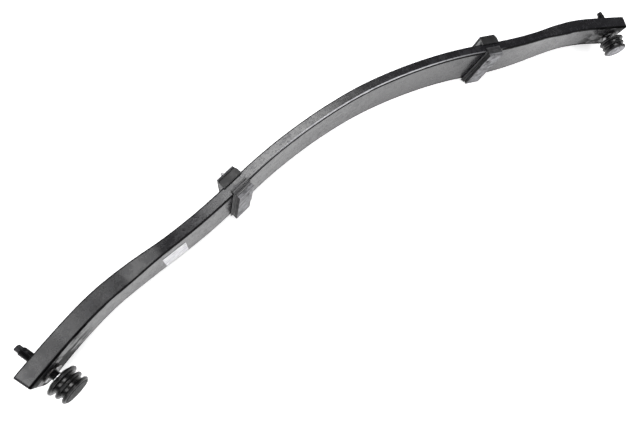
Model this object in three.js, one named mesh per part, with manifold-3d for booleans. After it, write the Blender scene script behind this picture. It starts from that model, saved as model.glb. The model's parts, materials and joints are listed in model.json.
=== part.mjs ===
// Transverse composite leaf spring of a car's independent suspension, lying on its side.
// Millimetres. X runs along the spring, Y is the direction the wheels push its ends in
// (the leaf arches towards +Y), and Z is the leaf's width. The origin is the middle of the
// base of the whole spring's bounding box.
//
// The left and right halves are mirror images, apart from how far each adjuster is screwed
// in, the label, and small differences in how the clamp pads sit.

import * as THREE from 'three';
import { mergeVertices } from 'three/addons/utils/BufferGeometryUtils.js';
import Module from 'manifold-3d';

const wasm = await Module();
wasm.setup();

// ---- driving dimensions ----------------------------------------------------------------

const FIT_GAP = 0.3; // clearance between solids that touch on the real spring

// The leaf, from its middle to its end, as [distance from the middle, value] pairs. The
// centre line runs through the middle of the thickness, and its height is measured from the
// end of the underside. Width and thickness change evenly from pair to pair.
const LEAF_CENTRE_LINE = [
  [0, 139.2], [75, 135.6], [150, 126.2], [215, 113.3], [275, 97.3], [330, 84], [385, 74.4],
  [440, 67.5], [495, 57.1], [552, 37.6], [609.5, 13.2],
];
const LEAF_THICKNESS = [
  [0, 16.9], [215, 17.2], [275, 18.4], [330, 17.9], [392, 18.3], [448, 24.9], [495, 25.5],
  [609.5, 24.3],
];
const LEAF_WIDTH = [
  [0, 82], [215, 79.6], [330, 77.4], [394, 73.2], [451, 56.6], [495, 53], [552, 51.6],
  [609.5, 55.5],
];
const LEAF_EDGE_RADIUS = 2; // along the four long edges
const LEAF_NOSE_RADII = { upper: 4, lower: 13 }; // corners of the end, up (Z) and down
const LEAF_STEPS_PER_SPAN = 4; // sections from one point of the centre line to the next
const NOSE_CUTS = [0, 0.5, 1.5, 3, 5, 8, 13]; // sections near the end, by distance from it

const BOLT_X = 591; // the adjuster crosses the underside square below this point
const BOLT_LEAN = THREE.MathUtils.degToRad(22); // the adjuster's axis from Y
const THREAD_RADIUS = 6; // M12
const TIP_ACROSS_FLATS = 8;
const TIP_LENGTH = 7.2;
const BOLT_ABOVE = 47.8; // thread above the leaf's underside, at a level adjuster
const STEM_BELOW = 18; // thread below the leaf's underside, down to the head
const HEAD_RADIUS = 9;
const HEAD_LENGTH = 9;
const HEAD_CHAMFER = 2;
const THREAD_CHAMFER = 1.5;
const ADJUSTER_SCREWED_IN = { left: 0, right: 2 };

const INSERT_RADIUS = 9;
const INSERT_FLANGE_RADIUS = 12.5;
const INSERT_FLANGE = 2.5;

const WASHER_RADIUS = 15;
const WASHER_TOP = 12.3; // below the leaf's underside
const WASHER_THICKNESS = 1.5;
const CUSHION_FLANGE_RADII = [20.8, 19, 19];
const CUSHION_NECK_RADIUS = 14.5;
const CUSHION_PITCH = 10.3; // from one flange to the next
const CUSHION_FLANGE = 6;
const CUSHION_TOP = 14.1; // below the leaf's underside
const BASE_PLATE_RADIUS = 16.5;
const BASE_PLATE = 2;
const BASE_PLATE_PROUD = 0.6; // how far the plate stands out of the cushion's foot
const BASE_PLATE_CHAMFER = 0.5;

const MOUNT_X = 265; // middle of each clamp mount
const UPPER_PAD = { base: 35, top: 32, height: 10.6, shoulder: 4, lipDrop: 3.6 };
const UPPER_PLATE = { length: 31, thickness: 2.4, width: 84 };
const UPPER_OFFSET = { left: 1.5, right: -3 }; // towards the spring's middle
const TAB = { radius: 2.4, height: 6.5, along: -1, across: 30 }; // stands on the left mount only
const LOWER_PAD_BASE = 6;
const LOWER_PAD_LIP_RISE = 7.3; // how far its lips cover the leaf's side faces
const PAD_HALF_WIDTH = 43.4; // the lips reach past the leaf's side faces
const LOWER_PAD_RIM = { reach: 3, thickness: 2 };
const LOWER_PLATE = 5;
// Ends of the lower pads along the leaf (towards the spring's end, towards its middle), at
// the upper side face and at the lower one: they don't sit square.
const LOWER_PAD_ENDS = {
  left: { upper: [12, 17], lower: [21, 13] },
  right: { upper: [18, 11], lower: [19, 15] },
};
const PLATE_STEPS = [1.5, 4]; // steps in the lower plate's inner edge
const STEP_SLANT = 1.5;
const PLATE_HOLE = { radius: 2.6, along: 6, across: 26 };

const LABEL = { x: 388, length: 38, width: 46, thickness: 0.4, across: -7.5, turn: 0.05 };
const LABEL_STEPS = 8;

const ROUND = 28; // sides of a round part
const SMALL_ROUND = 12;
const CUT_REACH = 60; // how far a cutting tool runs past what it cuts

// ---- materials -------------------------------------------------------------------------

function material(color, roughness, metalness) {
  return new THREE.MeshStandardMaterial({ color, roughness, metalness });
}

const composite = () => material(0x2c2c31, 0.38, 0);
const rubber = () => material(0x1d1d1f, 0.72, 0);
const blackSteel = () => material(0x232326, 0.45, 0.8);
const brightSteel = () => material(0xb4b4b6, 0.35, 1);
const castMetal = () => material(0x8b8c90, 0.6, 0.7);
const paper = () => material(0xe6e5ea, 0.7, 0);

// ---- solids ----------------------------------------------------------------------------

function toSolid(geometry) {
  const bare = geometry.clone();
  bare.deleteAttribute('normal');
  bare.deleteAttribute('uv');
  const merged = mergeVertices(bare, 1e-4);
  return new wasm.Manifold(new wasm.Mesh({
    numProp: 3,
    vertProperties: new Float32Array(merged.attributes.position.array),
    triVerts: new Uint32Array(merged.index.array),
  }));
}

function toGeometry(solid) {
  const mesh = solid.getMesh();
  const geometry = new THREE.BufferGeometry();
  geometry.setAttribute('position', new THREE.BufferAttribute(mesh.vertProperties, 3));
  geometry.setIndex(new THREE.BufferAttribute(mesh.triVerts, 1));
  geometry.computeVertexNormals();
  return geometry;
}

function joined(...geometries) {
  return toGeometry(geometries.map(toSolid).reduce((a, b) => a.add(b)));
}

function cut(geometry, ...tools) {
  return toGeometry(tools.map(toSolid).reduce((a, b) => a.subtract(b), toSolid(geometry)));
}

function box(x0, x1, y0, y1, z0, z1) {
  const geometry = new THREE.BoxGeometry(x1 - x0, y1 - y0, z1 - z0);
  return geometry.translate((x0 + x1) / 2, (y0 + y1) / 2, (z0 + z1) / 2);
}

function rod(radius, y0, y1, sides = ROUND) {
  const geometry = new THREE.CylinderGeometry(radius, radius, y1 - y0, sides);
  return geometry.translate(0, (y0 + y1) / 2, 0);
}

// A body of revolution round Y; the outline is a list of [radius, y] pairs.
function turned(outline) {
  const points = outline.map(([radius, y]) => new THREE.Vector2(radius, y));
  return new THREE.LatheGeometry(points, ROUND);
}

// An outline of [x, z] pairs given a thickness from y0 up to y1.
function slab(outline, y0, y1) {
  const shape = new THREE.Shape(outline.map(([x, z]) => new THREE.Vector2(x, -z)));
  const geometry = new THREE.ExtrudeGeometry(shape, { depth: y1 - y0, bevelEnabled: false });
  return geometry.rotateX(-Math.PI / 2).translate(0, y0, 0);
}

// ---- the leaf's centre line ------------------------------------------------------------

const leftHalf = LEAF_CENTRE_LINE.slice(1).reverse().map(([x, y]) => [-x, y]);
const centreLine = new THREE.SplineCurve(
  [...leftHalf, ...LEAF_CENTRE_LINE].map(([x, y]) => new THREE.Vector2(x, y)),
);

// The value at a distance from the middle in a list of [distance, value] pairs.
function valueAt(pairs, distance) {
  const next = pairs.findIndex(([x]) => x >= distance);
  if (next === -1) return pairs[pairs.length - 1][1];
  if (next === 0) return pairs[0][1];
  const [x0, value0] = pairs[next - 1];
  const [x1, value1] = pairs[next];
  return value0 + ((value1 - value0) * (distance - x0)) / (x1 - x0);
}

// Place, direction, thickness and width of the leaf at a share t of its centre line's spans.
function leafAtShare(t) {
  const point = centreLine.getPoint(t);
  return {
    point,
    tangent: centreLine.getTangent(t),
    thickness: valueAt(LEAF_THICKNESS, Math.abs(point.x)),
    width: valueAt(LEAF_WIDTH, Math.abs(point.x)),
  };
}

// The same at a distance x from the spring's middle, found by halving.
function leafAt(x) {
  let low = 0;
  let high = 1;
  for (let i = 0; i < 40; i += 1) {
    const middle = (low + high) / 2;
    if (centreLine.getPoint(middle).x < x) low = middle;
    else high = middle;
  }
  return leafAtShare(low);
}

// A group whose X runs along the leaf towards +X and whose Y is the leaf's normal.
function groupOnLeaf(x) {
  const { point, tangent } = leafAt(x);
  const group = new THREE.Group();
  group.position.set(point.x, point.y, 0);
  group.rotation.z = Math.atan2(tangent.y, tangent.x);
  return group;
}

// ---- the leaf --------------------------------------------------------------------------

// A rounded rectangle across the leaf, as [along the normal, along Z] pairs.
function leafSection(thickness, zLow, zHigh) {
  const r = LEAF_EDGE_RADIUS;
  const corners = [[1, zHigh - r], [-1, zHigh - r], [-1, zLow + r], [1, zLow + r]];
  return corners.flatMap(([side, z], corner) => [0, 1, 2].map((k) => {
    const angle = ((corner + k / 2) * Math.PI) / 2;
    return [side * (thickness / 2 - r) + r * Math.cos(angle), z + r * Math.sin(angle)];
  }));
}

// How much a rounded corner of the end takes off the width at a distance from the end.
function noseCut(radius, distance) {
  if (distance >= radius) return 0;
  return radius - Math.sqrt(radius ** 2 - (radius - distance) ** 2);
}

// Where the leaf gets a section: a share of its spans, and the distance from its end.
function leafCuts() {
  const length = centreLine.getLength();
  const atNose = NOSE_CUTS.map((fromEnd) => ({
    share: centreLine.getUtoTmapping(fromEnd / length),
    fromEnd,
  }));
  const count = (centreLine.points.length - 1) * LEAF_STEPS_PER_SPAN;
  const between = [];
  for (let k = 2; k <= count - 2; k += 1) between.push({ share: k / count, fromEnd: length });
  const farNose = atNose.map((c) => ({ ...c, share: 1 - c.share })).reverse();
  return [...atNose, ...between, ...farNose];
}

function leafGeometry() {
  const positions = [];
  const index = [];
  const rings = leafCuts().map(({ share, fromEnd }) => {
    const { point, tangent, thickness, width } = leafAtShare(share);
    const zHigh = width / 2 - noseCut(LEAF_NOSE_RADII.upper, fromEnd);
    const zLow = -width / 2 + noseCut(LEAF_NOSE_RADII.lower, fromEnd);
    return leafSection(thickness, zLow, zHigh).map(([n, z]) => [
      point.x - n * tangent.y,
      point.y + n * tangent.x,
      z,
    ]);
  });
  const sides = rings[0].length;
  rings.forEach((ring) => ring.forEach((p) => positions.push(...p)));
  for (let i = 0; i + 1 < rings.length; i += 1) {
    for (let k = 0; k < sides; k += 1) {
      const a = i * sides + k;
      const b = i * sides + ((k + 1) % sides);
      index.push(a, b, a + sides, b, b + sides, a + sides);
    }
  }
  const lastRing = (rings.length - 1) * sides;
  for (let k = 1; k + 1 < sides; k += 1) {
    index.push(0, k + 1, k);
    index.push(lastRing, lastRing + k, lastRing + k + 1);
  }
  const geometry = new THREE.BufferGeometry();
  geometry.setAttribute('position', new THREE.Float32BufferAttribute(positions, 3));
  geometry.setIndex(index);
  return geometry;
}

// A thin sheet that follows the leaf's underside.
function labelGeometry() {
  const { length, width, thickness, across, turn } = LABEL;
  const sheet = new THREE.BoxGeometry(length, thickness, width, LABEL_STEPS, 1, 1);
  sheet.rotateY(turn).translate(-LABEL.x, 0, across);
  const place = sheet.attributes.position;
  for (let i = 0; i < place.count; i += 1) {
    const leaf = leafAt(place.getX(i));
    const depth = leaf.thickness / 2 + 1.5 * FIT_GAP + (place.getY(i) < 0 ? thickness : 0);
    const x = leaf.point.x + depth * leaf.tangent.y;
    const y = leaf.point.y - depth * leaf.tangent.x;
    place.setXYZ(i, x, y, place.getZ(i));
  }
  return sheet;
}

// ---- adjuster, made with Y = 0 on the leaf's underside and +Y into the leaf -------------

function insertGeometry(thickness) {
  const bore = THREAD_RADIUS + FIT_GAP;
  const flangeTop = -3 * FIT_GAP; // the leaf isn't quite square to the adjuster
  const foot = flangeTop - INSERT_FLANGE;
  return turned([
    [bore, foot],
    [INSERT_FLANGE_RADIUS, foot],
    [INSERT_FLANGE_RADIUS, flangeTop],
    [INSERT_RADIUS, flangeTop],
    [INSERT_RADIUS, thickness],
    [bore, thickness],
    [bore, foot],
  ]);
}

function boltGeometry() {
  const shank = turned([
    [0, -STEM_BELOW - HEAD_LENGTH],
    [HEAD_RADIUS - HEAD_CHAMFER, -STEM_BELOW - HEAD_LENGTH],
    [HEAD_RADIUS, -STEM_BELOW - HEAD_LENGTH + HEAD_CHAMFER],
    [HEAD_RADIUS, -STEM_BELOW],
    [THREAD_RADIUS, -STEM_BELOW],
    [THREAD_RADIUS, BOLT_ABOVE - THREAD_CHAMFER],
    [THREAD_RADIUS - THREAD_CHAMFER, BOLT_ABOVE],
    [0, BOLT_ABOVE],
  ]);
  const cornerRadius = TIP_ACROSS_FLATS / Math.sqrt(3);
  const tip = rod(cornerRadius, BOLT_ABOVE - THREAD_CHAMFER, BOLT_ABOVE + TIP_LENGTH, 6);
  return joined(shank, tip);
}

function washerGeometry() {
  const bore = THREAD_RADIUS + 2 * FIT_GAP;
  const foot = -WASHER_TOP - WASHER_THICKNESS;
  return turned([
    [bore, foot],
    [WASHER_RADIUS, foot],
    [WASHER_RADIUS, -WASHER_TOP],
    [bore, -WASHER_TOP],
    [bore, foot],
  ]);
}

// Three flanges with rounded rims and waists between them, hollow for the bolt's head.
function cushionGeometry() {
  const top = -CUSHION_TOP;
  const outline = [];
  const rimSteps = 4;
  CUSHION_FLANGE_RADII.forEach((radius, i) => {
    const rim = CUSHION_FLANGE / 2;
    const middle = top - rim - i * CUSHION_PITCH;
    const waist = i > 0 ? CUSHION_NECK_RADIUS : radius - 2 * rim;
    outline.push([waist, middle + rim]);
    for (let k = 0; k <= rimSteps; k += 1) {
      const angle = Math.PI / 2 - (k / rimSteps) * Math.PI;
      outline.push([radius - rim + rim * Math.cos(angle), middle + rim * Math.sin(angle)]);
    }
    outline.push([CUSHION_NECK_RADIUS, middle - rim]);
  });
  const foot = outline[outline.length - 1][1];
  const plateBed = foot + BASE_PLATE - BASE_PLATE_PROUD + FIT_GAP;
  const stem = THREAD_RADIUS + 2 * FIT_GAP;
  const head = HEAD_RADIUS + FIT_GAP;
  outline.pop();
  outline.push([BASE_PLATE_RADIUS + FIT_GAP, foot], [BASE_PLATE_RADIUS + FIT_GAP, plateBed]);
  const hollow = [
    [0, -STEM_BELOW - HEAD_LENGTH - FIT_GAP],
    [head, -STEM_BELOW - HEAD_LENGTH - FIT_GAP],
    [head, -STEM_BELOW + FIT_GAP],
    [stem, -STEM_BELOW + FIT_GAP],
    [stem, top],
  ];
  return turned([[0, plateBed], ...outline.reverse(), ...hollow.reverse()]);
}

function basePlateGeometry() {
  const lowestFlange = CUSHION_TOP + (CUSHION_FLANGE_RADII.length - 1) * CUSHION_PITCH;
  const foot = -lowestFlange - CUSHION_FLANGE - BASE_PLATE_PROUD;
  return turned([
    [0, foot],
    [BASE_PLATE_RADIUS - BASE_PLATE_CHAMFER, foot],
    [BASE_PLATE_RADIUS, foot + BASE_PLATE_CHAMFER],
    [BASE_PLATE_RADIUS, foot + BASE_PLATE],
    [0, foot + BASE_PLATE],
  ]);
}

// ---- clamp mounts, made with Y = 0 in the middle of the leaf's thickness ----------------

function upperPadGeometry(face, leafWidth) {
  const { base, top, height, shoulder, lipDrop } = UPPER_PAD;
  const shape = new THREE.Shape([
    new THREE.Vector2(-base / 2, face - lipDrop),
    new THREE.Vector2(base / 2, face - lipDrop),
    new THREE.Vector2(base / 2, face + shoulder),
    new THREE.Vector2(top / 2, face + height),
    new THREE.Vector2(-top / 2, face + height),
    new THREE.Vector2(-base / 2, face + shoulder),
  ]);
  const depth = 2 * PAD_HALF_WIDTH;
  const block = new THREE.ExtrudeGeometry(shape, { depth, bevelEnabled: false });
  const halfSlot = leafWidth / 2 + 2 * FIT_GAP;
  const slot = box(-CUT_REACH, CUT_REACH, -CUT_REACH, face, -halfSlot, halfSlot);
  return cut(block.translate(0, 0, -depth / 2), slot);
}

function upperPlateGeometry(face, withTab) {
  const { length, thickness, width } = UPPER_PLATE;
  const foot = face + UPPER_PAD.height + FIT_GAP;
  const plate = box(-length / 2, length / 2, foot, foot + thickness, -width / 2, width / 2);
  if (!withTab) return plate;
  const tab = rod(TAB.radius, foot + thickness / 2, foot + thickness + TAB.height, SMALL_ROUND);
  return joined(plate, tab.translate(TAB.along, 0, TAB.across));
}

// Outline of a lower pad, grown at its two ends. inward is +1 where +X points to the
// spring's middle. Steps shorten the inner edge towards the lower side face.
function lowerOutline(side, inward, grow, steps = []) {
  const { upper, lower } = LOWER_PAD_ENDS[side];
  const z = PAD_HALF_WIDTH;
  const [upperOut, upperIn] = upper;
  const [lowerOut, lowerIn] = lower;
  const inner = [[upperIn + grow, z]];
  steps.forEach((step, i) => {
    const share = (i + 1) / (steps.length + 1);
    const along = upperIn + (lowerIn - upperIn) * share;
    const before = i > 0 ? steps[i - 1] : 0;
    const across = z * (1 - 2 * share);
    inner.push([along - before, across], [along - step, across - STEP_SLANT]);
  });
  const last = steps.length > 0 ? steps[steps.length - 1] : 0;
  const outline = [
    [-upperOut - grow, z],
    ...inner,
    [lowerIn + grow - last, -z],
    [-lowerOut - grow, -z],
  ];
  return outline.map(([x, across]) => [x * inward, across]);
}

function lowerPadGeometry(side, inward, face, leafWidth) {
  const foot = -face - LOWER_PAD_BASE;
  const block = slab(lowerOutline(side, inward, 0), foot, -face + LOWER_PAD_LIP_RISE);
  const rimFoot = -face - LOWER_PAD_RIM.thickness;
  const rim = slab(lowerOutline(side, inward, LOWER_PAD_RIM.reach), rimFoot, -face);
  const halfSlot = leafWidth / 2 + 2 * FIT_GAP;
  const slot = box(-CUT_REACH, CUT_REACH, -face, CUT_REACH, -halfSlot, halfSlot);
  return cut(joined(block, rim), slot);
}

function lowerPlateGeometry(side, inward, face) {
  const top = -face - LOWER_PAD_BASE - FIT_GAP;
  const plate = slab(lowerOutline(side, inward, 0, PLATE_STEPS), top - LOWER_PLATE, top);
  const hole = rod(PLATE_HOLE.radius, top - CUT_REACH, top + CUT_REACH, SMALL_ROUND);
  return cut(plate, hole.translate(PLATE_HOLE.along * inward, 0, PLATE_HOLE.across));
}

// ---- assembly --------------------------------------------------------------------------

const spring = new THREE.Group();

function addPart(parent, name, geometry, finish) {
  const mesh = new THREE.Mesh(geometry, finish);
  mesh.name = name;
  parent.add(mesh);
  return mesh;
}

let leafSolid = toSolid(leafGeometry());

for (const [side, sign] of [['left', -1], ['right', 1]]) {
  const adjuster = groupOnLeaf(sign * BOLT_X);
  const { thickness } = leafAt(sign * BOLT_X);
  adjuster.translateY(-thickness / 2);
  adjuster.rotation.z = -sign * BOLT_LEAN;
  spring.add(adjuster);
  adjuster.updateMatrixWorld(true);
  const hole = rod(INSERT_RADIUS + FIT_GAP, -CUT_REACH, CUT_REACH);
  leafSolid = leafSolid.subtract(toSolid(hole.applyMatrix4(adjuster.matrixWorld)));

  addPart(adjuster, `${side}_threaded_insert`, insertGeometry(thickness), brightSteel());
  const moving = new THREE.Group();
  moving.position.y = ADJUSTER_SCREWED_IN[side];
  adjuster.add(moving);
  addPart(moving, `${side}_adjuster_bolt`, boltGeometry(), blackSteel());
  addPart(moving, `${side}_cushion_washer`, washerGeometry(), brightSteel());
  addPart(moving, `${side}_cushion`, cushionGeometry(), rubber());
  addPart(moving, `${side}_cushion_base_plate`, basePlateGeometry(), castMetal());

  const mount = groupOnLeaf(sign * MOUNT_X);
  const leaf = leafAt(sign * MOUNT_X);
  const face = leaf.thickness / 2 + FIT_GAP + 0.1;
  const inward = -sign;
  spring.add(mount);
  const upper = new THREE.Group();
  upper.position.x = UPPER_OFFSET[side] * inward;
  mount.add(upper);
  addPart(upper, `${side}_upper_pad`, upperPadGeometry(face, leaf.width), rubber());
  addPart(upper, `${side}_upper_plate`, upperPlateGeometry(face, side === 'left'), blackSteel());
  addPart(mount, `${side}_lower_pad`, lowerPadGeometry(side, inward, face, leaf.width), rubber());
  addPart(mount, `${side}_lower_plate`, lowerPlateGeometry(side, inward, face), castMetal());
}

addPart(spring, 'leaf', toGeometry(leafSolid), composite());

addPart(spring, 'label', labelGeometry(), paper());

// The origin goes to the middle of the base of the whole spring's box.
spring.updateMatrixWorld(true);
const bounds = new THREE.Box3().setFromObject(spring, true);
spring.position.set(
  -(bounds.min.x + bounds.max.x) / 2,
  -(bounds.min.y + bounds.max.y) / 2,
  -bounds.min.z,
);
spring.updateMatrixWorld(true);

export default spring;
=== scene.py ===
import itertools
import json
import math

import bmesh
import bpy
import numpy as np
from mathutils import Matrix, Vector
from mathutils.bvhtree import BVHTree


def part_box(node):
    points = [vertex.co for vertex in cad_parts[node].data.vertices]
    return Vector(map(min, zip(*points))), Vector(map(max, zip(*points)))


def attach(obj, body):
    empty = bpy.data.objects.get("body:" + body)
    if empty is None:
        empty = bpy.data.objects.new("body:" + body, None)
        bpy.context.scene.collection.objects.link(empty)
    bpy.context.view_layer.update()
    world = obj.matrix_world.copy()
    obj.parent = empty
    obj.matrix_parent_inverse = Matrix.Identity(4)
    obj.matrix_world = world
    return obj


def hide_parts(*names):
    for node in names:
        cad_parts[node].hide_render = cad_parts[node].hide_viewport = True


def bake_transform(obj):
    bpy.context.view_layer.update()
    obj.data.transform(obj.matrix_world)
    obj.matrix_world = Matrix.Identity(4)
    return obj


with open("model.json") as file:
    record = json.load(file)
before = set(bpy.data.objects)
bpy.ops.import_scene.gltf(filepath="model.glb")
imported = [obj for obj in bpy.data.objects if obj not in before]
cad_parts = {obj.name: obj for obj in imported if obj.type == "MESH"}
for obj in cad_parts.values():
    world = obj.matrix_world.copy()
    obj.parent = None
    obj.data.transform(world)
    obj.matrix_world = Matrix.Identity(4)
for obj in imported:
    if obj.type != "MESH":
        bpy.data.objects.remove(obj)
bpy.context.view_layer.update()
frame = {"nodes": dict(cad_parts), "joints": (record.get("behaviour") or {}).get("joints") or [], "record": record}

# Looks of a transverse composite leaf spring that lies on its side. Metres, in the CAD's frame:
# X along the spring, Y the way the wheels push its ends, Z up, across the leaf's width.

SIDES = {"left": -1, "right": 1}
MM = 0.001

# ---- sizes that the looks add to the frame ------------------------------------------------

LEAF_STEP = 4 * MM  # from one section of the leaf to the next
LEAF_END_MARGIN = 12 * MM  # no section is measured this close to an end
LEAF_OFF_BORE = 18 * MM  # above the leaf's middle, clear of the adjuster's bore
LEAF_EDGE = 2.2 * MM  # radius of its long edges
EDGE_STEPS = 6
FACE_STEPS = 10  # across its broad faces
SIDE_STEPS = 4  # across its narrow faces
NOSE_RADII = (4 * MM, 13 * MM)  # corners of its ends, up (Z) and down
NOSE_STEPS = 9
PAINTED_HIGHLIGHT_BAND = 0.5 * MM  # how far the painted highlight by an edge runs onto the narrow faces
PAINTED_SHADE_BAND = 2.4 * MM  # how far the painted shade line by an edge runs onto the broad faces
BAND_FADE = 0.3 * MM  # across the end of either band
HIGHLIGHT_FROM, HIGHLIGHT_TO = -260 * MM, 300 * MM  # the painted highlight on the edge runs between these places
HIGHLIGHT_FADE = 190 * MM
SMOOTHING = 7  # sections averaged to take out the CAD leaf's facets
WIDTH_SMOOTHING = 3
SMEAR_REACH = 58 * MM  # of the dark smears, each way along the leaf
SMEAR_OFFSET = 12 * MM  # of their middle, from the adjuster towards the spring's middle
INSERT_RIM = 5 * MM  # an insert's wider rim lies below this height on the adjuster's axis
BORE_GAP = 0.3 * MM  # between a bore's wall and its insert
CUTTER_REACH = 0.1  # half length of a bore's cutting tool

THREAD_PITCH = 1.75 * MM
THREAD_DEPTH = 1.0 * MM
THREAD_STEPS = 6  # rings in one pitch
THREAD_ROOT = 0.08  # the flat of the thread's root, as a share of its pitch
THREAD_RELIEF = 3 * MM  # plain neck between the bolt's head and its thread
THREAD_CHAMFER = 1 * MM
THREAD_SIDES = 48
TIP_NECK = 0.86  # radius under the hex tip, as a share of the tip's corner radius

ROUND = 96  # sides of a turned piece
CORNER_STEPS = 3  # in a turned piece's rounded corner
SHARP_CORNER = math.radians(25)  # a turned outline's corners are rounded from here
SHARP_EDGE = math.radians(50)  # edges are shaded sharp from here
SHARP_THREAD_EDGE = math.radians(35)

LABEL_ROWS = 5  # faint rows of worn-off print
LABEL_STEPS = 24
LABEL_THICKNESS = 0.35 * MM
LABEL_MARGINS = (1.2 * MM, 0.9 * MM)  # the turned CAD label's box stands out this far past it
LABEL_CORNER = 1.5 * MM
LABEL_LIFT = 0.05 * MM  # glue under it

END_GROOVE = (2.34 * MM, 1.16 * MM)  # edges of the upper pads' end grooves, below the pad's top
END_GROOVE_DEPTH = 2.7 * MM
SIDE_GROOVE = (2.3 * MM, 1.2 * MM)  # the same for their side grooves
SIDE_GROOVE_DEPTH = 1.1 * MM  # of both pads
LOWER_GROOVES = (-9.3 * MM, -12 * MM, -14.4 * MM)  # near edges, from the lower plate's face
LOWER_GROOVE_WIDTH = 1.1 * MM
BEVEL_FROM = math.radians(28)  # a pad's or plate's edges are rounded from here

FLOOR_REACH = 7.0
FLOOR_DROP = 0.2 * MM  # keeps the floor clear of the pads that lie on it
FLOOR_GLOW = 0.55  # it stands in for an overlit paper sweep
WORLD_GLOW = (0.9, 0.12)  # at the horizon, and from HIGH_UP to straight overhead
HIGH_UP = 0.25  # as the Z of a direction
SOFTBOXES = {  # place, what it points at, size, radiance
    "softbox_middle": ((0.385, 0.8, 2.1), (0.385, 0.8, 0), (1.07, 1.3), 9.4),
    "softbox_left": ((-1.77, 0.4, 2.1), (-1.77, 0.4, 0), (1.2, 1.3), 5.2),
    "softbox_rim": ((1.35, -1.75, 2.1), (0.2, 0, 0), (1.9, 0.35), 12.0),
    "softbox_front": ((-0.4, -2.6, 1.6), (0, 0, 0), (2.8, 1.2), 5.2),
}

# The photo's camera, solved from the leaf's outline.
CAMERA_PLACE = (-0.35496, -0.13189, 0.64061)
CAMERA_RIGHT = (0.8172, -0.5481, 0.1786)
CAMERA_UP = (0.4965, 0.8266, 0.2650)
CAMERA_LENS = 22.48  # mm, on a sensor 36 mm wide


# ---- meshes -------------------------------------------------------------------------------


def new_object(name, vertices, faces, material, smooth=True):
    mesh = bpy.data.meshes.new(name)
    mesh.from_pydata([tuple(v) for v in vertices], [], [tuple(f) for f in faces])
    mesh.validate()
    obj = bpy.data.objects.new(name, mesh)
    bpy.context.scene.collection.objects.link(obj)
    finish_mesh(obj, material, smooth)
    return obj


def finish_mesh(obj, material, smooth=True):
    """No doubled points or loose edges, outward normals, one material and smooth shading."""
    bm = bmesh.new()
    bm.from_mesh(obj.data)
    bmesh.ops.remove_doubles(bm, verts=bm.verts, dist=1e-6)
    loose = [e for e in bm.edges if not e.link_faces]
    bmesh.ops.delete(bm, geom=loose, context="EDGES")
    bmesh.ops.recalc_face_normals(bm, faces=bm.faces)
    bm.to_mesh(obj.data)
    bm.free()
    obj.data.materials.clear()
    obj.data.materials.append(material)
    if smooth:
        obj.data.shade_smooth()
        obj.data.set_sharp_from_angle(angle=SHARP_EDGE)


def keep_flats_flat(obj):
    weighted = obj.modifiers.new("flats", "WEIGHTED_NORMAL")
    weighted.keep_sharp = True


def apply_modifiers(obj):
    evaluated = obj.evaluated_get(bpy.context.evaluated_depsgraph_get())
    mesh = bpy.data.meshes.new_from_object(evaluated)
    obj.modifiers.clear()
    obj.data = mesh


def store_rest(obj):
    """Each vertex keeps its place at rest, so that a finish doesn't slide when the leaf bends."""
    rest = obj.data.attributes.new("rest", "FLOAT_VECTOR", "POINT")
    rest.data.foreach_set("vector", np.array([v.co for v in obj.data.vertices], np.float32).ravel())


def subtract(obj, tool):
    cut = obj.modifiers.new("cut", "BOOLEAN")
    cut.operation = "DIFFERENCE"
    cut.solver = "EXACT"
    cut.object = tool
    bpy.context.view_layer.update()
    apply_modifiers(obj)
    bpy.data.objects.remove(tool)


def box_tool(axes, low, high):
    """A cutting box between two corners on local axes."""
    corners = [axes @ Vector(corner) for corner in itertools.product(*zip(low, high))]
    faces = [(0, 1, 3, 2), (4, 6, 7, 5), (0, 4, 5, 1), (2, 3, 7, 6), (0, 2, 6, 4), (1, 5, 7, 3)]
    return new_object("cutting_box", corners, faces, composite, smooth=False)


def spun(name, outline, axes, material):
    """A closed body of revolution round the local Y axis; the outline is (radius, height) pairs."""
    vertices, faces = [], []
    count = len(outline)
    for k in range(ROUND):
        angle = 2 * math.pi * k / ROUND
        for radius, height in outline:
            local = Vector((radius * math.cos(angle), height, radius * math.sin(angle)))
            vertices.append(axes @ local)
    for k in range(ROUND):
        a, b = k * count, ((k + 1) % ROUND) * count
        for i in range(count):
            j = (i + 1) % count
            faces.append((a + i, a + j, b + j, b + i))
    return new_object(name, vertices, faces, material)


def rounded(outline, radius):
    """A closed outline with its sharp corners rounded."""
    made = []
    points = [np.array(p, float) for p in outline]
    for i, corner in enumerate(points):
        before, after = points[i - 1], points[(i + 1) % len(points)]
        to_before, to_after = before - corner, after - corner
        room = min(np.linalg.norm(to_before), np.linalg.norm(to_after))
        if corner[0] < 1e-6 or room < 1e-7:
            made.append(corner)
            continue
        u, v = to_before / np.linalg.norm(to_before), to_after / np.linalg.norm(to_after)
        turn = math.pi - math.acos(max(-1, min(1, float(u @ v))))
        if turn < SHARP_CORNER:
            made.append(corner)
            continue
        reach = min(radius * math.tan(turn / 2), 0.45 * room)
        start, end = corner + u * reach, corner + v * reach
        for k in range(CORNER_STEPS + 1):
            t = k / CORNER_STEPS
            made.append((1 - t) ** 2 * start + 2 * t * (1 - t) * corner + t**2 * end)
    return made


# ---- what the frame says ------------------------------------------------------------------


def cad_mesh(node):
    """A copy of a CAD node's mesh with its doubled points merged."""
    bm = bmesh.new()
    bm.from_mesh(frame["nodes"][node].data)
    bmesh.ops.remove_doubles(bm, verts=bm.verts, dist=2e-6)
    return bm


def local_axes(origin, up):
    """Axes at origin whose Y is up and whose Z stays Z."""
    y = Vector(up).normalized()
    z = Vector((0, 0, 1))
    x = y.cross(z)
    rotation = Matrix((x, y, z)).transposed().to_4x4()
    return Matrix.Translation(origin) @ rotation


def mount_axes(name):
    mount = next(m for m in frame["record"]["mounts"] if m["name"] == name)
    return local_axes(mount["pos_m"], mount["axis"])


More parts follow.
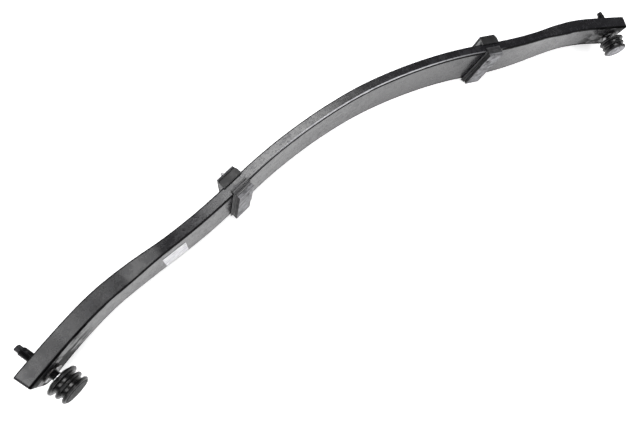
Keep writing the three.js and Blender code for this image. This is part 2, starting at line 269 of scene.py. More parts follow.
def adjuster_axes(side):
    """Origin on the adjuster's axis where the joint is, and Y from the cushion to the hex tip."""
    joint = next(j for j in frame["joints"] if j["name"] == f"{side}_bolt_turn")
    return local_axes(joint["pos_m"], [-a for a in joint["axis"]])


def turned_outline(node, axes):
    """The (radius, height) outline of a turned CAD node: its rings, in the order they join up."""
    bm = cad_mesh(node)
    inverse = axes.inverted()
    rings, ring_of = [], {}
    for v in bm.verts:
        p = inverse @ v.co
        spot = (math.hypot(p.x, p.z), p.y)
        near = [k for k, ring in enumerate(rings) if math.dist(ring, spot) < 0.06 * MM]
        if not near:
            rings.append(spot)
        ring_of[v] = near[0] if near else len(rings) - 1
    joined = {k: set() for k in range(len(rings))}
    for e in bm.edges:
        a, b = (ring_of[v] for v in e.verts)
        if a != b:
            joined[a].add(b)
            joined[b].add(a)
    bm.free()
    ends = sorted(k for k in joined if len(joined[k]) == 1)
    current = ends[0] if ends else 0
    walked = [current]
    while True:
        ahead = [k for k in sorted(joined[current]) if k not in walked]
        if not ahead:
            break
        current = ahead[0]
        walked.append(current)
    outline = [(0.0 if rings[k][0] < 0.1 * MM else rings[k][0], rings[k][1]) for k in walked]
    if ends:
        outline = [(0.0, outline[0][1]), *outline, (0.0, outline[-1][1])]
    return outline


leaf_low, leaf_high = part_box("leaf")
LEAF_MIDDLE_Z = (leaf_low.z + leaf_high.z) / 2
MOUNT_X = sum(abs(mount_axes(f"{side}_lower_mount").translation.x) for side in SIDES) / 2
SMEAR_X = abs(adjuster_axes("left").translation.x) - SMEAR_OFFSET


class LeafShape:
    """The leaf's centre line, thickness and width, measured on the right half of the CAD leaf."""

    def __init__(self):
        mesh = frame["nodes"]["leaf"].data
        points = [v.co for v in mesh.vertices]
        tree = BVHTree.FromPolygons(points, [p.vertices for p in mesh.polygons])
        off_bore = LEAF_MIDDLE_Z + LEAF_OFF_BORE
        xs = np.arange(0, leaf_high.x - LEAF_END_MARGIN, LEAF_STEP)
        above = [tree.ray_cast(Vector((x, 1, off_bore)), Vector((0, -1, 0)))[0].y for x in xs]
        below = [tree.ray_cast(Vector((x, -1, off_bore)), Vector((0, 1, 0)))[0].y for x in xs]
        middle = (np.array(above) + np.array(below)) / 2
        down = Vector((0, 0, -1))
        tops = [tree.ray_cast(Vector((x, y, 1)), down)[0].z for x, y in zip(xs, middle)]
        self.xs = xs
        self.middle = smoothed(middle)
        slope = np.gradient(self.middle, xs)
        self.thickness = smoothed((np.array(above) - np.array(below)) * np.cos(np.arctan(slope)))
        self.width = smoothed(2 * (np.array(tops) - LEAF_MIDDLE_Z), WIDTH_SMOOTHING)
        self.end_slope = float(slope[-1])
        end_angle = math.atan(self.end_slope)
        self.end_x = leaf_high.x - self.thickness[-1] / 2 * math.sin(-end_angle)

    def at(self, x):
        """(place in XY, unit tangent towards +X, thickness, width) at a signed x."""
        sign = 1 if x >= 0 else -1
        distance = abs(x)
        past = max(0.0, distance - self.xs[-1])
        y = float(np.interp(distance, self.xs, self.middle)) + past * self.end_slope
        near = max(0.0, min(distance, self.xs[-1]) - LEAF_STEP)
        far = min(self.xs[-1], near + 2 * LEAF_STEP)
        rise = np.interp(far, self.xs, self.middle) - np.interp(near, self.xs, self.middle)
        slope = sign * float(rise) / (far - near) if distance > LEAF_STEP / 2 else 0.0
        tangent = Vector((1, slope)).normalized()
        thickness = float(np.interp(distance, self.xs, self.thickness))
        return Vector((x, y)), tangent, thickness, float(np.interp(distance, self.xs, self.width))


def smoothed(values, sections=SMOOTHING):
    """Averaged along the leaf, mirrored at its middle and run straight on at its end."""
    reach = sections // 2
    start = values[1 : reach + 1][::-1]
    step = values[-1] - values[-2]
    end = values[-1] + step * np.arange(1, reach + 1)
    weights = np.hanning(sections + 2)[1:-1]
    return np.convolve(np.concatenate([start, values, end]), weights / weights.sum(), "valid")


shape = LeafShape()

# ---- materials ----------------------------------------------------------------------------


class Finish:
    """A node material under construction: a Principled surface and short calls for its nodes.

    Textures lie in the object's own space, or follow a stored vector attribute if one is named.
    """

    def __init__(self, name, attribute=None):
        self.material = bpy.data.materials.new(name)
        self.material.use_nodes = True
        self.nodes = self.material.node_tree.nodes
        self.links = self.material.node_tree.links
        self.surface = self.nodes["Principled BSDF"]
        if attribute:
            source = self.nodes.new("ShaderNodeAttribute")
            source.attribute_name = attribute
            self.place = source.outputs["Vector"]
        else:
            self.place = self.nodes.new("ShaderNodeTexCoord").outputs["Object"]

    def set(self, **values):
        for name, value in values.items():
            self.surface.inputs[name.replace("_", " ")].default_value = value
        return self

    def noise(self, scale, stretch=(1, 1, 1), detail=4.0, roughness=0.55, seed=0.0):
        mapping = self.nodes.new("ShaderNodeMapping")
        mapping.inputs["Scale"].default_value = stretch
        mapping.inputs["Location"].default_value = (seed, seed * 0.7, seed * 1.3)
        texture = self.nodes.new("ShaderNodeTexNoise")
        texture.inputs["Scale"].default_value = scale
        texture.inputs["Detail"].default_value = detail
        texture.inputs["Roughness"].default_value = roughness
        self.links.new(self.place, mapping.inputs["Vector"])
        self.links.new(mapping.outputs["Vector"], texture.inputs["Vector"])
        return texture.outputs["Fac"]

    def math(self, operation, a, b=0.0):
        node = self.nodes.new("ShaderNodeMath")
        node.operation = operation
        for socket, value in zip(node.inputs, (a, b)):
            if isinstance(value, (int, float)):
                socket.default_value = value
            else:
                self.links.new(value, socket)
        return node.outputs[0]

    def spread(self, value, low, high, to_low=0.0, to_high=1.0):
        node = self.nodes.new("ShaderNodeMapRange")
        node.interpolation_type = "SMOOTHSTEP"
        for socket, number in zip(node.inputs[1:5], (low, high, to_low, to_high)):
            socket.default_value = number
        self.links.new(value, node.inputs[0])
        return node.outputs[0]

    def mix(self, share, a, b):
        node = self.nodes.new("ShaderNodeMix")
        node.data_type = "RGBA"
        self.links.new(share, node.inputs["Factor"])
        for socket, value in ((node.inputs[6], a), (node.inputs[7], b)):
            if isinstance(value, tuple):
                socket.default_value = (*value, 1)
            else:
                self.links.new(value, socket)
        return node.outputs[2]

    def axis(self, index):
        node = self.nodes.new("ShaderNodeSeparateXYZ")
        self.links.new(self.place, node.inputs[0])
        return node.outputs[index]

    def normal_axis(self, index):
        node = self.nodes.new("ShaderNodeSeparateXYZ")
        self.links.new(self.nodes.new("ShaderNodeNewGeometry").outputs["Normal"], node.inputs[0])
        return node.outputs[index]

    def attribute(self, name):
        node = self.nodes.new("ShaderNodeAttribute")
        node.attribute_name = name
        return node.outputs["Fac"]

    def color(self, socket):
        self.links.new(socket, self.surface.inputs["Base Color"])

    def roughness(self, socket):
        self.links.new(socket, self.surface.inputs["Roughness"])

    def specular(self, socket):
        self.links.new(socket, self.surface.inputs["Specular IOR Level"])

    def bump(self, *layers):
        """Each layer is (height, strength, distance)."""
        normal = None
        for height, strength, distance in layers:
            node = self.nodes.new("ShaderNodeBump")
            node.inputs["Strength"].default_value = strength
            node.inputs["Distance"].default_value = distance
            self.links.new(height, node.inputs["Height"])
            if normal is not None:
                self.links.new(normal, node.inputs["Normal"])
            normal = node.outputs["Normal"]
        self.links.new(normal, self.surface.inputs["Normal"])


def composite_finish():
    """Moulded glass fibre and resin: long fibre grain, dusty speckle, scuffs and resin smears, with painted shade
    along the edges and a painted highlight along one edge.
    """
    f = Finish("glass_fibre_composite", attribute="rest").set(Metallic=0.0, IOR=1.5)
    grain = f.noise(420, stretch=(0.07, 1, 1), detail=5)
    mottle = f.noise(95, detail=7, roughness=0.65, seed=3)
    speckle = f.noise(340, stretch=(0.6, 1, 1), detail=6, roughness=0.7, seed=12)
    broad = f.noise(14, stretch=(0.5, 1, 1), detail=3, seed=8)
    narrow, edge = f.attribute("narrow_face"), f.attribute("painted_shade_edge")
    highlight_share = f.attribute("painted_highlight_edge")
    streaks = f.spread(f.noise(75, stretch=(0.35, 1, 1), detail=5, seed=5), 0.42, 0.56)
    rubbed = f.math(
        "MULTIPLY", f.spread(f.axis(0), -0.37, -0.3), f.spread(f.axis(0), 0.02, -0.14)
    )
    smear = f.math("MULTIPLY", f.attribute("adjuster_smear"), streaks)
    dust_and_painted_shading = f.math("MULTIPLY", f.spread(mottle, 0.45, 0.72), f.spread(narrow, 0.0, 1.0, 0.3, 1.0))
    flecks = f.spread(speckle, 0.52, 0.62)
    scuffs = f.math("MULTIPLY", flecks, f.spread(narrow, 0.0, 1.0, 0.2, 1.0))
    scuffs = f.math("MULTIPLY", scuffs, f.spread(rubbed, 0.0, 1.0, 0.1, 1.0))
    base = f.mix(f.spread(broad, 0.3, 0.7), (0.0052, 0.005, 0.0062), (0.0082, 0.0079, 0.0098))
    dust_and_painted_shading = f.math("MULTIPLY", dust_and_painted_shading, f.spread(rubbed, 0.0, 1.0, 0.45, 1.0))
    base = f.mix(dust_and_painted_shading, base, (0.021, 0.021, 0.025))
    base = f.mix(scuffs, base, (0.05, 0.05, 0.057))
    # painted shade: a near-black line along the leaf's edges, also made rougher and less shiny below
    base = f.mix(edge, base, (0.002, 0.002, 0.0022))
    # painted highlight: a light grey line along the edge between the narrow face and the underside, broken up by
    # the mottle
    bare = f.math("MULTIPLY", highlight_share, f.spread(mottle, 0.3, 0.5, 0.6, 1.0))
    base = f.mix(bare, base, (0.37, 0.37, 0.39))
    f.color(f.mix(smear, base, (0.003, 0.003, 0.003)))
    rough = f.spread(broad, 0.3, 0.7, 0.2, 0.27)
    rough = f.math("ADD", rough, f.spread(mottle, 0.35, 0.75, -0.03, 0.12))
    rough = f.math("ADD", rough, f.math("MULTIPLY", scuffs, 0.22))
    rough = f.math("ADD", rough, f.math("MULTIPLY", edge, 0.3))
    f.roughness(f.math("ADD", rough, f.math("MULTIPLY", smear, 0.3)))
    shine = f.math("SUBTRACT", 0.5, f.math("MULTIPLY", edge, 0.45))
    f.specular(f.math("SUBTRACT", shine, f.math("MULTIPLY", smear, 0.38)))
    f.bump(
        (grain, 0.16, 0.25 * MM),
        (mottle, 0.14, 0.5 * MM),
        (speckle, 0.16, 0.2 * MM),
        (smear, 0.5, 0.6 * MM),
    )
    return f.material


def rubber_finish(name, tone, shine, specular=0.5, painted_end_shading=0.0):
    """Moulded rubber with a fine grain and a grey bloom; the faces along X can get a patchy painted tone, painted
    light where it is lighter than the rubber and painted shade where it is darker.
    """
    f = Finish(name).set(Metallic=0.0, IOR=1.5, Specular_IOR_Level=specular)
    grain = f.noise(1400, detail=3)
    bloom = f.noise(130, detail=6, roughness=0.6, seed=2)
    bloomed = (tone * 3, tone * 3, tone * 3.2)
    base = f.mix(f.spread(bloom, 0.42, 0.75), (tone, tone, tone * 1.06), bloomed)
    # tone painted on the faces that look along X: painted light when it is above the rubber's tone, painted shade
    # when below
    if painted_end_shading:
        facing = f.math("ABSOLUTE", f.normal_axis(0))
        patches = f.spread(f.noise(150, detail=4, seed=14), 0.32, 0.66)
        dust_and_painted_shading = f.math("MULTIPLY", f.spread(facing, 0.55, 0.9), patches)
        base = f.mix(dust_and_painted_shading, base, (painted_end_shading, painted_end_shading, painted_end_shading * 1.03))
    f.color(base)
    f.roughness(f.spread(bloom, 0.3, 0.7, shine, shine + 0.18))
    f.bump((grain, 0.2, 0.1 * MM), (bloom, 0.15, 0.3 * MM))
    return f.material


def black_steel_finish():
    """Phosphated steel, rubbed to bare metal here and there."""
    f = Finish("black_steel").set(Metallic=0.75)
    grain = f.noise(900, detail=4)
    rub = f.noise(210, detail=6, roughness=0.7, seed=4)
    f.color(f.mix(f.spread(rub, 0.56, 0.74), (0.02, 0.02, 0.022), (0.16, 0.16, 0.165)))
    f.roughness(f.spread(rub, 0.3, 0.75, 0.34, 0.55))
    f.bump((grain, 0.15, 0.08 * MM))
    return f.material


def bright_steel_finish(name, clean):
    """Zinc-plated steel with a cloudy skin; the stains are fewer the higher clean is."""
    f = Finish(name).set(Metallic=1.0)
    cloud = f.noise(260, detail=5, roughness=0.6)
    grain = f.noise(1500, stretch=(1, 0.1, 1), detail=2, seed=6)
    stain = f.noise(120, detail=6, roughness=0.65, seed=11)
    plating = f.mix(f.spread(cloud, 0.3, 0.75), (0.6, 0.6, 0.61), (0.32, 0.32, 0.33))
    f.color(f.mix(f.spread(stain, clean - 0.1, clean + 0.1), plating, (0.045, 0.043, 0.042)))
    f.roughness(f.spread(stain, 0.3, 0.7, 0.26, 0.5))
    f.bump((grain, 0.12, 0.05 * MM))
    return f.material


def cast_plate_finish(name, tone, specular=0.5):
    """Grey cast plate, pitted, with darker stains and painted shade on its end faces."""
    f = Finish(name).set(Metallic=0.1, Specular_IOR_Level=specular)
    pits = f.noise(520, detail=5, roughness=0.7)
    stain = f.noise(110, detail=6, roughness=0.65, seed=9)
    stained = (tone * 0.35, tone * 0.35, tone * 0.37)
    base = f.mix(f.spread(stain, 0.4, 0.62), (tone, tone, tone * 1.06), stained)
    base = f.mix(f.spread(pits, 0.55, 0.68), base, (tone * 0.16, tone * 0.16, tone * 0.17))
    # painted shade: faces that look along X are made near black
    ends = f.spread(f.math("ABSOLUTE", f.normal_axis(0)), 0.55, 0.8)
    f.color(f.mix(f.math("MULTIPLY", ends, 0.92), base, (0.008, 0.008, 0.0085)))
    f.roughness(f.spread(stain, 0.3, 0.7, 0.5, 0.7))
    f.bump((pits, 0.45, 0.25 * MM), (stain, 0.2, 0.4 * MM))
    return f.material


def label_finish(width):
    """A white sticker with faint grey rows where its print was."""
    f = Finish("paper_label").set(Metallic=0.0)
    fibre = f.noise(900, detail=3)
    blotch = f.noise(240, stretch=(0.5, 1, 1), detail=4, seed=7)
    rows = f.math("SINE", f.math("MULTIPLY", f.axis(2), 2 * math.pi / (width / LABEL_ROWS)))
    print_mask = f.math("MULTIPLY", f.spread(rows, -0.4, 0.3), f.spread(blotch, 0.4, 0.56))
    base = f.mix(fibre, (0.58, 0.58, 0.595), (0.5, 0.5, 0.515))
    f.color(f.mix(f.math("MULTIPLY", print_mask, 0.75), base, (0.2, 0.2, 0.215)))
    f.roughness(f.spread(fibre, 0.3, 0.7, 0.5, 0.65))
    f.bump((fibre, 0.1, 0.05 * MM))
    return f.material


composite = composite_finish()
# upper pads: painted light on their end faces
upper_rubber = rubber_finish("upper_pad_rubber", 0.007, 0.4, specular=0.33, painted_end_shading=0.26)
# lower pads: painted shade on their end faces
lower_rubber = rubber_finish("lower_pad_rubber", 0.018, 0.32, painted_end_shading=0.002)
cushion_rubber = rubber_finish("cushion_rubber", 0.003, 0.2, specular=0.4)
black_steel = black_steel_finish()
washer_steel = bright_steel_finish("washer_steel", 0.6)
tab_steel = bright_steel_finish("tab_steel", 0.7)
insert_steel = bright_steel_finish("insert_steel", 0.44)
cast_plate = cast_plate_finish("cast_plate", 0.16)
# one part at both ends in two tones: the left copy near black for painted shade, the right copy lighter for
# painted light
foot_plates_painted_shade_and_light = {
    "left": cast_plate_finish("left_foot_plate_painted_shade", 0.008, 0.2),
    "right": cast_plate_finish("right_foot_plate_painted_light", 0.26),
}


# ---- the leaf -----------------------------------------------------------------------------


def nose_cut(radius, distance):
    """How far an end's round corner has cut in, at a distance from the end."""
    if distance >= radius:
        return 0.0
    return radius - math.sqrt(radius**2 - (radius - distance) ** 2)


def leaf_ring(x):
    """Points round the leaf at x, closer together next to its edges."""
    place, tangent, thickness, width = shape.at(x)
    normal = Vector((-tangent.y, tangent.x))
    from_end = (shape.end_x - abs(x)) / tangent.x
    top = width / 2 - nose_cut(NOSE_RADII[0], from_end)
    bottom = -width / 2 + nose_cut(NOSE_RADII[1], from_end)
    half, r = thickness / 2, LEAF_EDGE
    corners = [
        (half - r, top - r, 0),
        (r - half, top - r, 1),
        (r - half, bottom + r, 2),
        (half - r, bottom + r, 3),
    ]
    ring = []
    for k, (n0, z0, quarter) in enumerate(corners):
        for i in range(EDGE_STEPS + 1):
            angle = (quarter + i / EDGE_STEPS) * math.pi / 2
            ring.append((n0 + r * math.cos(angle), z0 + r * math.sin(angle)))
        n1, z1, following = corners[(k + 1) % 4]
        angle = following * math.pi / 2
        start, end = ring[-1], (n1 + r * math.cos(angle), z1 + r * math.sin(angle))
        length = math.dist(start, end)
        steps, band = (SIDE_STEPS, PAINTED_HIGHLIGHT_BAND) if k % 2 == 0 else (FACE_STEPS, PAINTED_SHADE_BAND)
        near = [band / length, (band + BAND_FADE) / length]
        for t in [*near, *(i / steps for i in range(1, steps)), 1 - near[1], 1 - near[0]]:
            ring.append((start[0] + (end[0] - start[0]) * t, start[1] + (end[1] - start[1]) * t))
    return [
        Vector((place.x + n * normal.x, place.y + n * normal.y, LEAF_MIDDLE_Z + z)) for n, z in ring
    ]


def leaf_piece(name, x_from, x_to):
    """A stretch of the leaf between two signed places, capped at both ends."""
    count = max(2, round(abs(x_to - x_from) / LEAF_STEP))
    xs = [x_from + (x_to - x_from) * k / count for k in range(count + 1)]
    if abs(abs(x_to) - shape.end_x) < 1e-9:
        sign = math.copysign(1, x_to)
        nose = NOSE_RADII[1]
        xs = [x for x in xs if abs(x) < shape.end_x - nose]
        for k in range(NOSE_STEPS + 1):
            xs.append(sign * (shape.end_x - nose * (1 - math.sin(k / NOSE_STEPS * math.pi / 2))))
    rings = [leaf_ring(x) for x in xs]
    size = len(rings[0])
    vertices = [p for ring in rings for p in ring]
    faces = []
    for i in range(len(rings) - 1):
        for k in range(size):
            a, b = i * size + k, i * size + (k + 1) % size
            faces.append((a, b, b + size, a + size))
    faces.append(tuple(range(size)))
    faces.append(tuple(range((len(rings) - 1) * size, len(rings) * size)))
    return new_object(name, vertices, faces, composite)


def face_attributes(obj):
    """Zones of the leaf's finish: painted shade along its edges, a painted highlight along one edge, narrow faces,
    smears by an adjuster.
    """
    mesh = obj.data
    zones = {"painted_shade_edge": [], "painted_highlight_edge": [], "narrow_face": [], "adjuster_smear": []}
    for vertex in mesh.vertices:
        x, y, z = vertex.co
        place, tangent, thickness, width = shape.at(x)
        across = (y - place.y) * tangent.x - (x - place.x) * tangent.y
        to_face = thickness / 2 - abs(across)
        to_side = width / 2 - abs(z - LEAF_MIDDLE_Z)
        slack = 0.1 * MM
        by_narrow = to_side <= to_face and to_face < LEAF_EDGE + PAINTED_HIGHLIGHT_BAND + slack
        by_broad = to_face < to_side < LEAF_EDGE + PAINTED_SHADE_BAND + slack
        highlight_share = 0.0
        # painted highlight, only on the edge towards the underside
        if by_narrow and across < 0:
            highlight_share = max(0.0, min(1.0, (x - HIGHLIGHT_FROM) / HIGHLIGHT_FADE, (HIGHLIGHT_TO - x) / HIGHLIGHT_FADE))
        near = 1 - abs(abs(x) - SMEAR_X) / SMEAR_REACH
        on_underside = across < 0 and to_face < LEAF_EDGE / 2
        on_edge = by_narrow and to_face < LEAF_EDGE - slack
        zones["painted_highlight_edge"].append(highlight_share)
        # painted shade band: on the edges' arcs and the broad faces beside them, except where the painted
        # highlight is
        zones["painted_shade_edge"].append(1.0 - highlight_share if by_broad or on_edge else 0.0)
        zones["narrow_face"].append(1.0 if to_side < LEAF_EDGE / 2 < to_face else 0.0)
        zones["adjuster_smear"].append(max(0.0, min(1.0, 2.2 * near)) if on_underside else 0.0)
    for zone, values in zones.items():
        attribute = mesh.attributes.new(zone, "FLOAT", "POINT")
        attribute.data.foreach_set("value", np.array(values, np.float32))
    store_rest(obj)


def make_leaf():
    """Two stretches a side, that meet under the clamp mount."""
    for side, sign in SIDES.items():
        inner = leaf_piece(f"leaf_{side}_inner", 0.0, sign * MOUNT_X)
        outer = leaf_piece(f"leaf_{side}_outer", sign * MOUNT_X, sign * shape.end_x)
        axes = adjuster_axes(side)
        insert = turned_outline(f"{side}_threaded_insert", axes)
        bore = max(radius for radius, height in insert if height > INSERT_RIM) + BORE_GAP
        reach = CUTTER_REACH
        outline = [(0.0, -reach), (bore, -reach), (bore, reach), (0.0, reach)]
        subtract(outer, spun("bore_tool", outline, axes, composite))
        finish_mesh(outer, composite)
        for piece, joint, bodies in (
            (inner, "arm_flex", ("leaf_middle", f"{side}_arm")),
            (outer, "tip_flex", (f"{side}_arm", f"{side}_tip")),
        ):
            face_attributes(piece)
            keep_flats_flat(piece)
            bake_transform(piece)
            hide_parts("leaf")


# ---- the label ----------------------------------------------------------------------------


def make_label():
    """A thin sheet on the underside, with rounded corners, on the CAD label's place."""
    bm = cad_mesh("label")
    points = np.array([v.co for v in bm.verts])
    bm.free()
    low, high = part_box("label")
    width = high.z - low.z
    centre_x, centre_z = points[:, 0].mean(), points[:, 2].mean()
    turn = label_turn(points)
    half_l = (high.x - low.x) / 2 - LABEL_MARGINS[0]
    half_w = width / 2 - LABEL_MARGINS[1]
    straight_l, straight_w = half_l - LABEL_CORNER, half_w - LABEL_CORNER
    count = LABEL_STEPS + 1
    vertices = []
    for layer in (0, 1):
        for i in range(count):
            for k in range(count):
                a, b = (2 * i / LABEL_STEPS - 1) * half_l, (2 * k / LABEL_STEPS - 1) * half_w
                over = max(0.0, abs(a) - straight_l), max(0.0, abs(b) - straight_w)
                if min(over) > 0:
                    shrink = LABEL_CORNER / max(LABEL_CORNER, math.hypot(*over))
                    a = math.copysign(straight_l + over[0] * shrink, a)
                    b = math.copysign(straight_w + over[1] * shrink, b)
                x = centre_x + a * math.cos(turn) + b * math.sin(turn)
                z = centre_z - a * math.sin(turn) + b * math.cos(turn)
                place, tangent, leaf_thickness, _ = shape.at(x)
                depth = leaf_thickness / 2 + LABEL_LIFT + layer * LABEL_THICKNESS
                x, y = place.x + depth * tangent.y, place.y - depth * tangent.x
                vertices.append(Vector((x, y, z)))
    size = count * count
    faces = []
    for layer in (0, 1):
        for i in range(LABEL_STEPS):
            for k in range(LABEL_STEPS):
                a = layer * size + i * count + k
                faces.append((a, a + 1, a + count + 1, a + count))
    rim = [i * count for i in range(count)]
    rim += [LABEL_STEPS * count + k for k in range(1, count)]
    rim += [i * count + LABEL_STEPS for i in range(LABEL_STEPS - 1, -1, -1)]
    rim += list(range(LABEL_STEPS - 1, 0, -1))
    for a, b in zip(rim, rim[1:] + rim[:1]):
        faces.append((a, b, b + size, a + size))
    obj = new_object("label_sheet", vertices, faces, label_finish(width))
    keep_flats_flat(obj)
    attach(obj, "left_tip")
    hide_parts("label")


def label_turn(points):
    """How far the CAD label is turned on the underside, from the line of its lower edge."""
    outer = points[points[:, 0].argmin()]
    lowest = points[points[:, 2].argmin()]
    return math.atan2(outer[2] - lowest[2], lowest[0] - outer[0])


# ---- adjusters ----------------------------------------------------------------------------


def make_turned(side, node, radius, material, body):
    """A turned CAD node again, with more sides and its corners rounded to a radius."""
    axes = adjuster_axes(side)
    outline = rounded(turned_outline(f"{side}_{node}", axes), radius)
    obj = spun(f"{side}_{node}_turned", outline, axes, material)
    keep_flats_flat(obj)
    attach(obj, f"{side}_{body}")
    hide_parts(f"{side}_{node}")


def thread_rings(radius, start, end):
    """Rings of a helical thread between two heights, faded in at its start."""
    rings = []
    count = round((end - start) / THREAD_PITCH * THREAD_STEPS)
    for i in range(count + 1):
        height = start + (end - start) * i / count
        fade = min(1.0, (height - start) / THREAD_PITCH)
        limit = radius - max(0.0, height - (end - THREAD_CHAMFER))
        ring = []
        for k in range(THREAD_SIDES):
            phase = (height / THREAD_PITCH - k / THREAD_SIDES) % 1.0
            flank = abs(2 * phase - 1)
            down = 1.0
            if flank > THREAD_ROOT:
                down -= fade * (flank - THREAD_ROOT) / (1 - THREAD_ROOT)
            ring.append((min(limit, radius - THREAD_DEPTH * down), height))
        rings.append(ring)
    return rings


def make_bolt(side):
    """A stud with a real helical thread, a chamfered end, a hexagonal tip and a head."""
    axes = adjuster_axes(side)
    inverse = axes.inverted()
    bm = cad_mesh(f"{side}_adjuster_bolt")
    local = [inverse @ v.co for v in bm.verts]
    bm.free()
    levels = sorted({round(p.y, 5) for p in local})
    low, high = levels[0], levels[-1]

    def radius_at(level):
        return max(math.hypot(p.x, p.z) for p in local if abs(p.y - level) < 1e-4)

    head_radius = max(radius_at(level) for level in levels)
    head_top = max(level for level in levels if abs(radius_at(level) - head_radius) < 1e-5)
    thread_radius = max(radius_at(level) for level in levels if level > head_top + 1 * MM)
    tip_corner = radius_at(high)
    below_tip = [level for level in levels if level < high - 1 * MM]
    thread_end = max(level for level in below_tip if radius_at(level) > tip_corner - 0.1 * MM)

    head = [
        (head_radius - 2 * MM, low),
        (head_radius - 0.5 * MM, low + 0.4 * MM),
        (head_radius, low + 1.2 * MM),
        (head_radius, head_top - 0.6 * MM),
        (head_radius - 0.6 * MM, head_top),
        (thread_radius - 0.6 * MM, head_top),
        (thread_radius - THREAD_DEPTH / 2, head_top + 0.5 * MM),
    ]
    rings = [[spot] * THREAD_SIDES for spot in head]
    rings += thread_rings(thread_radius, head_top + THREAD_RELIEF, thread_end)
    rings.append([(tip_corner * TIP_NECK, thread_end + 0.1 * MM)] * THREAD_SIDES)
    flats = tip_corner * math.cos(math.pi / 6)
    for height, share in ((thread_end + 0.5 * MM, 1.0), (high - 0.7 * MM, 1.0), (high, 0.9)):
        ring = []
        for k in range(THREAD_SIDES):
            angle = 2 * math.pi * k / THREAD_SIDES
            off = math.remainder(angle - math.pi / 6, math.pi / 3)
            ring.append((min(flats / math.cos(off), tip_corner * share), height))
        rings.append(ring)

    vertices = []
    for ring in rings:
        for k, (radius, height) in enumerate(ring):
            angle = 2 * math.pi * k / THREAD_SIDES
            spot = Vector((radius * math.cos(angle), height, radius * math.sin(angle)))
            vertices.append(axes @ spot)
    last = (len(rings) - 1) * THREAD_SIDES
    faces = [tuple(range(THREAD_SIDES)), tuple(range(last, last + THREAD_SIDES))]
    for i in range(len(rings) - 1):
        for k in range(THREAD_SIDES):
            a, b = i * THREAD_SIDES + k, i * THREAD_SIDES + (k + 1) % THREAD_SIDES
            faces.append((a, b, b + THREAD_SIDES, a + THREAD_SIDES))
    obj = new_object(f"{side}_adjuster_bolt_threaded", vertices, faces, black_steel)
    obj.data.set_sharp_from_angle(angle=SHARP_THREAD_EDGE)
    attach(obj, f"{side}_bolt")
    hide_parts(f"{side}_adjuster_bolt")


# ---- clamp mounts -------------------------------------------------------------------------


def refined(node, bevel, material, tools=(), segments=3):
    """A CAD node's shape with its edges rounded, and then its grooves cut in by the tools."""
    bm = cad_mesh(node)
    bmesh.ops.dissolve_limit(bm, angle_limit=math.radians(0.5), verts=bm.verts, edges=bm.edges)
    mesh = bpy.data.meshes.new(node)
    bm.to_mesh(mesh)
    bm.free()
    obj = bpy.data.objects.new(f"{node}_finished", mesh)
    bpy.context.scene.collection.objects.link(obj)
    edges = obj.modifiers.new("edges", "BEVEL")
    edges.width = bevel
    edges.segments = segments
    edges.limit_method = "ANGLE"
    edges.angle_limit = BEVEL_FROM
    bpy.context.view_layer.update()
    apply_modifiers(obj)
    for tool in tools:
        subtract(obj, tool)
    finish_mesh(obj, material)
    keep_flats_flat(obj)
    return obj


def bare_above(obj, axes, height):
    """Bright metal on the faces above a height on local axes: the tab on the left plate."""
    inverse = axes.inverted()
    obj.data.materials.append(tab_steel)
    for polygon in obj.data.polygons:
        if (inverse @ polygon.center).y > height:
            polygon.material_index = 1


def local_box(node, axes):
    """Lowest and highest corner of a CAD node on local axes."""
    inverse = axes.inverted()
    points = np.array([inverse @ v.co for v in frame["nodes"][node].data.vertices])
    return points.min(0), points.max(0)


def end_groove(axes, low, high, outward):
    """A tool for a groove in the end face at one end of an upper pad, right across it."""
    x_end = high[0] if outward > 0 else low[0]
    a, b = sorted((x_end - outward * END_GROOVE_DEPTH, x_end + outward * END_GROOVE_DEPTH))
    bottom, top = (high[1] - drop for drop in END_GROOVE)
    return box_tool(axes, (a, bottom, low[2] - MM), (b, top, high[2] + MM))


def side_groove(axes, low, high, z_edge, bottom, top, overrun):
    """A tool for a groove in the side face at z_edge, along the whole pad."""
    outward = math.copysign(1, z_edge)
    a, b = sorted((z_edge + outward * MM, z_edge - outward * SIDE_GROOVE_DEPTH))
    return box_tool(axes, (low[0] - overrun, bottom, a), (high[0] + overrun, top, b))


def make_mounts():
    for side in SIDES:
        upper, lower = mount_axes(f"{side}_upper_mount"), mount_axes(f"{side}_lower_mount")
        low, high = local_box(f"{side}_upper_pad", upper)
        bottom, top = (high[1] - drop for drop in SIDE_GROOVE)
        upper_grooves = [end_groove(upper, low, high, outward) for outward in (1, -1)]
        for z_edge in (high[2], low[2]):
            upper_grooves.append(side_groove(upper, low, high, z_edge, bottom, top, 2 * MM))
        low, high = local_box(f"{side}_lower_pad", lower)
        lower_grooves = [
            side_groove(lower, low, high, z_edge, height - LOWER_GROOVE_WIDTH, height, MM)
            for height in LOWER_GROOVES
            for z_edge in (low[2], high[2])
        ]
        upper_pad = refined(f"{side}_upper_pad", 0.9 * MM, upper_rubber, upper_grooves)
        upper_plate = refined(f"{side}_upper_plate", 0.5 * MM, black_steel)
        lower_pad = refined(f"{side}_lower_pad", 0.5 * MM, lower_rubber, lower_grooves, segments=2)
        lower_plate = refined(f"{side}_lower_plate", 0.8 * MM, cast_plate)
        bare_above(upper_plate, upper, 0.8 * MM)
        for obj, slot in (
            (upper_pad, "pad_rubber"),
            (upper_plate, "black_steel"),
            (lower_pad, "pad_rubber"),
            (lower_plate, "cast_plate"),
        ):
            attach(obj, f"{side}_arm")
            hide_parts(obj.name.removesuffix("_finished"))


# ---- floor, light and camera --------------------------------------------------------------


def make_floor():
    f = Finish("floor").set(Metallic=0.0, Roughness=0.85)
    f.color(f.mix(f.noise(3, detail=2), (0.9, 0.9, 0.905), (0.87, 0.87, 0.875)))
    f.set(Emission_Color=(1, 1, 1, 1), Emission_Strength=FLOOR_GLOW)
    signs = ((-1, -1), (1, -1), (1, 1), (-1, 1))
    corners = [(x * FLOOR_REACH, y * FLOOR_REACH, -FLOOR_DROP) for x, y in signs]
    new_object("floor", corners, [(0, 1, 2, 3)], f.material)


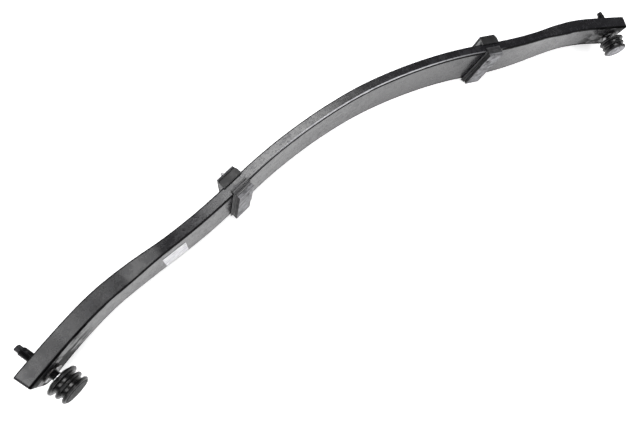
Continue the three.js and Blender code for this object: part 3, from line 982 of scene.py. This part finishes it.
def softbox(name, place, towards, size, radiance):
    """A rectangular area light whose power follows from its size and radiance."""
    light = bpy.data.lights.new(name, "AREA")
    light.shape = "RECTANGLE"
    light.size, light.size_y = size
    light.energy = radiance * size[0] * size[1] * math.pi
    obj = bpy.data.objects.new(name, light)
    obj.location = place
    obj.rotation_mode = "QUATERNION"
    obj.rotation_quaternion = (Vector(towards) - Vector(place)).to_track_quat("-Z", "Y")
    bpy.context.scene.collection.objects.link(obj)


def make_lights():
    for name, settings in SOFTBOXES.items():
        softbox(name, *settings)
    world = bpy.data.worlds.new("studio")
    bpy.context.scene.world = world
    world.use_nodes = True
    tree = world.node_tree
    direction = tree.nodes.new("ShaderNodeTexCoord").outputs["Generated"]
    split = tree.nodes.new("ShaderNodeSeparateXYZ")
    ramp = tree.nodes.new("ShaderNodeMapRange")
    for socket, number in zip(ramp.inputs[1:5], (0.0, HIGH_UP, *WORLD_GLOW)):
        socket.default_value = number
    tree.links.new(direction, split.inputs[0])
    tree.links.new(split.outputs[2], ramp.inputs[0])
    background = tree.nodes["Background"]
    background.inputs["Color"].default_value = (1.0, 1.0, 1.0, 1)
    tree.links.new(ramp.outputs[0], background.inputs["Strength"])


def make_camera():
    data = bpy.data.cameras.new("camera")
    data.sensor_fit = "HORIZONTAL"
    data.sensor_width = 36
    data.lens = CAMERA_LENS
    camera = bpy.data.objects.new("camera", data)
    right, up = Vector(CAMERA_RIGHT), Vector(CAMERA_UP)
    back = right.cross(up).normalized()
    up = back.cross(right).normalized()
    turned = Matrix((right.normalized(), up, back)).transposed()
    camera.matrix_world = Matrix.Translation(CAMERA_PLACE) @ turned.to_4x4()
    bpy.context.scene.collection.objects.link(camera)
    bpy.context.scene.camera = camera


make_camera()
make_lights()
make_floor()
make_leaf()
make_label()
for side in SIDES:
    make_bolt(side)
    painted_foot_plate, carrier = foot_plates_painted_shade_and_light[side], "cushion_carrier"
    make_turned(side, "threaded_insert", 0.4 * MM, insert_steel, "tip")
    make_turned(side, "cushion_washer", 0.4 * MM, washer_steel, carrier)
    make_turned(side, "cushion", 0.9 * MM, cushion_rubber, carrier)
    make_turned(side, "cushion_base_plate", 0.4 * MM, painted_foot_plate, carrier)
make_mounts()
bpy.context.scene.view_settings.view_transform = "Standard"
